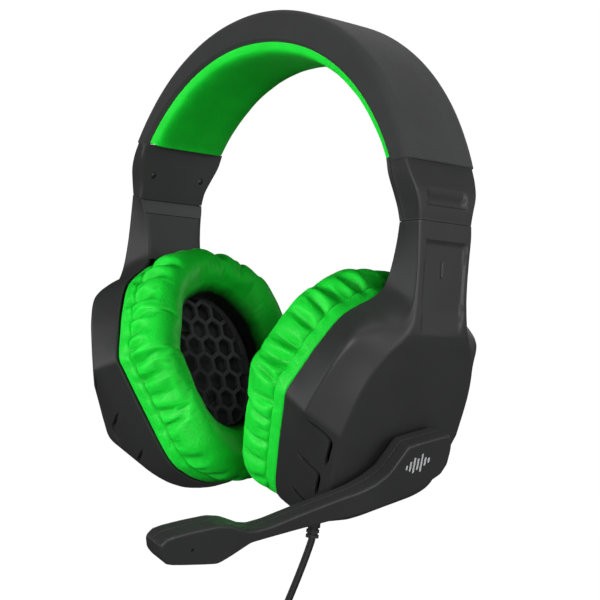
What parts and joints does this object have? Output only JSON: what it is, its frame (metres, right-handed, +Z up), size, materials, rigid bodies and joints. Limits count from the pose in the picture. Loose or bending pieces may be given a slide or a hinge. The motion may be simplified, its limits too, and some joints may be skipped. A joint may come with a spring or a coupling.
{
  "type": "gaming headset",
  "caption": "Over-ear headset: padded arch headband, sliding ear cups with puckered ring cushions, swinging microphone boom and a short cable with a stereo plug.",
  "frame": {"origin": "crown rest point: the middle of the headband pad's lower face, where the band rests on the wearer's head", "axes": "+Z up, +X towards the wearer's left, the wearer faces -Y"},
  "size_m": [0.1744, 0.1745, 0.316],
  "materials": {
    "grey_plastic": "fine moulded texture, satin",
    "dark_plastic": "fine moulded texture",
    "band_wrap": "woven-look wrap, fine diagonal weave",
    "foam": "open-cell foam",
    "green_leatherette": "soft green leatherette with fine grain and puckers",
    "steel": "brushed",
    "cable_rubber": "soft matte",
    "plug_metal": "polished",
    "brass": "plain",
    "magnet": "plated",
    "film": "thin film",
    "grille_black": "black, soft sheen"
  },
  "bodies": {
    "headband": {"headband_cover": "band_wrap", "headband_foam": "foam", "spring_band": "steel", "headband_core": "dark_plastic", "headband_pad": "green_leatherette", "headband_wire": "cable_rubber", "left_bracket_outer": "grey_plastic", "left_bracket_inner": "grey_plastic", "left_bracket_screws": "steel", "left_slide_guide": "dark_plastic", "left_detent_spring": "steel", "right_bracket_outer": "grey_plastic", "right_bracket_inner": "grey_plastic", "right_bracket_screws": "steel", "right_slide_guide": "dark_plastic", "right_detent_spring": "steel"},
    "left_cup": {"left_cup_shell": "grey_plastic", "left_arm_cover": "dark_plastic", "left_slider": "steel", "left_slider_screws": "steel", "left_baffle": "dark_plastic", "left_baffle_screws": "steel", "left_driver_basket": "dark_plastic", "left_driver_magnet": "magnet", "left_diaphragm": "film", "left_grille": "grille_black", "left_cushion": "green_leatherette", "cable_strain_relief": "cable_rubber", "cable": "cable_rubber", "plug_body": "dark_plastic", "plug_pin": "plug_metal"},
    "right_cup": {"right_cup_shell": "grey_plastic", "right_arm_cover": "dark_plastic", "right_slider": "steel", "right_slider_screws": "steel", "right_baffle": "dark_plastic", "right_baffle_screws": "steel", "right_driver_basket": "dark_plastic", "right_driver_magnet": "magnet", "right_diaphragm": "film", "right_grille": "grille_black", "right_cushion": "green_leatherette"},
    "mic_boom": {"boom_outer_shell": "grey_plastic", "boom_inner_shell": "dark_plastic", "boom_washer": "steel", "boom_screw": "steel", "mic_capsule": "brass", "mic_gasket": "cable_rubber"}
  },
  "joints": [
    {"name": "left_slide", "type": "slide", "parent": "headband", "child": "left_cup", "axis": [0.225, 0, -0.9744], "range_m": [0, 0.02]},
    {"name": "right_slide", "type": "slide", "parent": "headband", "child": "right_cup", "axis": [-0.225, 0, -0.9744], "range_m": [0, 0.02]},
    {"name": "mic_hinge", "type": "hinge", "parent": "left_cup", "child": "mic_boom", "pos_m": [0.07133, 0.003, -0.15805], "axis": [0.9527, 0, -0.304], "range_deg": [-110, 25]}
  ]
}
